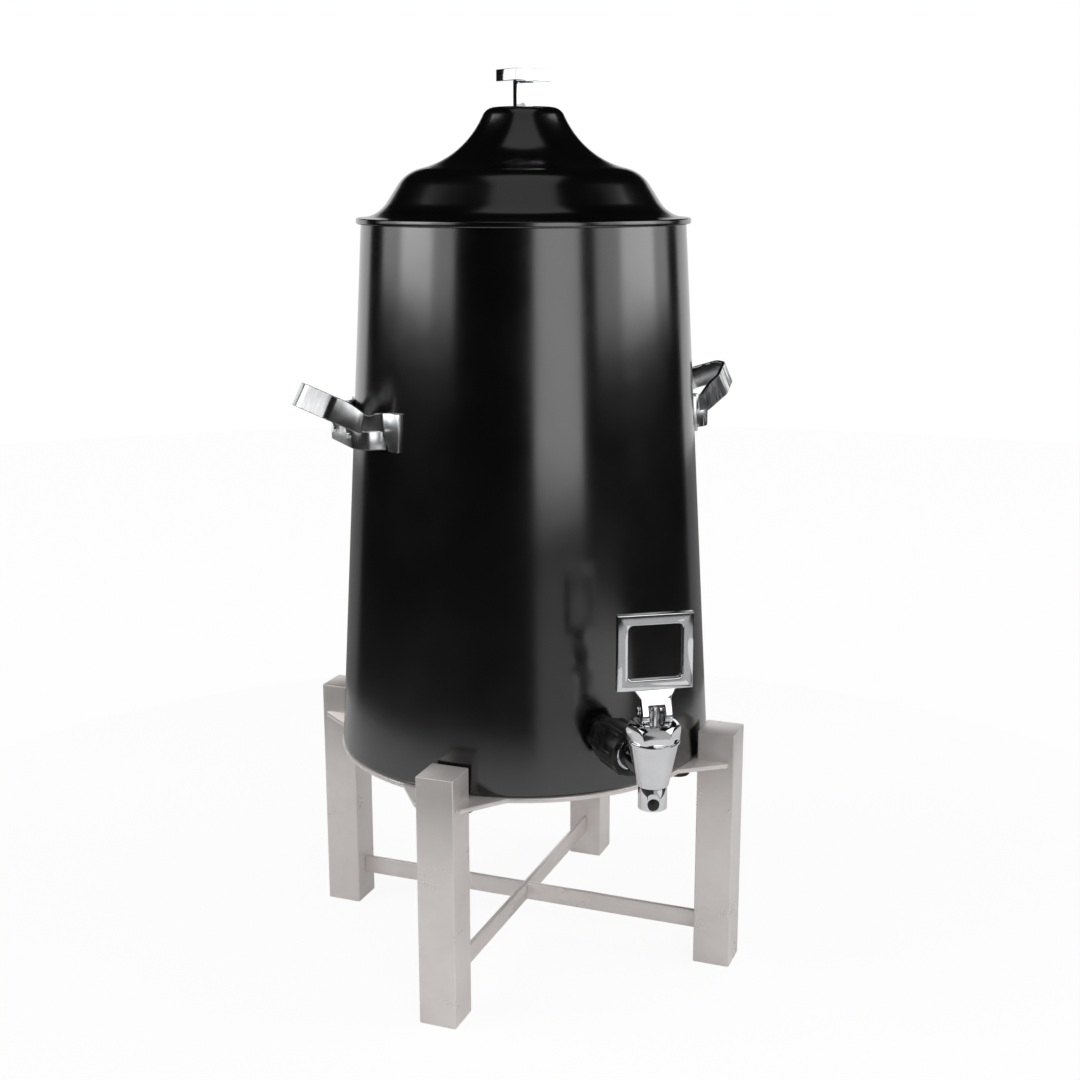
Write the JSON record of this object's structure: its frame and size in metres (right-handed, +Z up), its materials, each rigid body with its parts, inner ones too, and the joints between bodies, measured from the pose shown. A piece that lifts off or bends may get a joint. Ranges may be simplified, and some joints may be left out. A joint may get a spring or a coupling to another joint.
{
  "type": "coffee urn",
  "caption": "Tall conical black coffee urn with a lift-off domed lid, bar grip, chromed side handles and lever tap, on a square-legged steel stand.",
  "frame": {"origin": "on the floor, below the middle of the whole urn's box, so the urn's upright axis stands 39.1 mm behind it at +Y", "axes": "+Z up along the urn's axis; the tap points to -Y; the handles lie along -X and +X; the legs stand on the diagonals"},
  "size_m": [0.3182, 0.3342, 0.596],
  "materials": {
    "black_coat": "satin black powder coat",
    "chrome": "polished",
    "stainless": "bright polished tube",
    "vessel_steel": "satin sheet",
    "black_plastic": "satin moulded",
    "silicone": "matte",
    "insulation": "felted glass fibre"
  },
  "bodies": {
    "urn": {"leg_front_left": "stainless", "leg_front_right": "stainless", "leg_rear_left": "stainless", "leg_rear_right": "stainless", "cross_bar_upper": "stainless", "cross_bar_lower": "stainless", "stand_plate": "stainless", "foot_plug_front_left": "black_plastic", "foot_plug_front_right": "black_plastic", "foot_plug_rear_left": "black_plastic", "foot_plug_rear_right": "black_plastic", "hold_down_nuts": "black_plastic", "tap_collar": "black_plastic", "union_nut": "black_plastic", "spout_button": "black_plastic", "outer_shell": "black_coat", "inner_vessel": "vessel_steel", "base_pan": "vessel_steel", "base_studs": "vessel_steel", "lock_nut": "vessel_steel", "shank_bush": "vessel_steel", "tap_shank": "vessel_steel", "valve_spring": "vessel_steel", "base_insulation": "insulation", "wall_insulation": "insulation", "inner_seal": "silicone", "handle_loop_left": "chrome", "handle_loop_right": "chrome", "handle_bracket_left": "chrome", "handle_bracket_right": "chrome", "handle_screws": "chrome", "tap_body": "chrome", "spout_sleeve": "chrome", "tap_bonnet": "chrome"},
    "lid": {"lid_cover": "black_coat", "lid_pan": "vessel_steel", "lid_gasket": "silicone", "lid_insulation": "insulation", "lid_post": "chrome", "lid_grip_bar": "chrome", "lid_nut": "vessel_steel"},
    "seat": {"seat_cup": "silicone"},
    "stem": {"valve_stem": "vessel_steel", "hinge_pin": "chrome"},
    "lever": {"tap_lever": "chrome"}
  },
  "joints": [
    {"name": "lid_lift", "type": "slide", "parent": "urn", "child": "lid", "axis": [0, 0, 1], "range_m": [0, 0.25]},
    {"name": "valve_lift", "type": "slide", "parent": "urn", "child": "seat", "axis": [0, 0, 1], "range_m": [0, 0.004], "deforming": ["valve_spring"]},
    {"name": "handle_turn", "type": "hinge", "parent": "seat", "child": "stem", "pos_m": [0, -0.15089, 0.2], "axis": [0, 0, 1], "continuous": true},
    {"name": "handle_tilt", "type": "hinge", "parent": "stem", "child": "lever", "pos_m": [0, -0.15089, 0.2229], "axis": [0.9781, -0.2079, 0], "range_deg": [0, 45], "stiffness_Nm_per_rad": 0.15, "springref_deg": -28.65}
  ],
  "couplings": [
    {"joint": "valve_lift", "follows": "handle_tilt", "m_per_rad": 0.005}
  ]
}
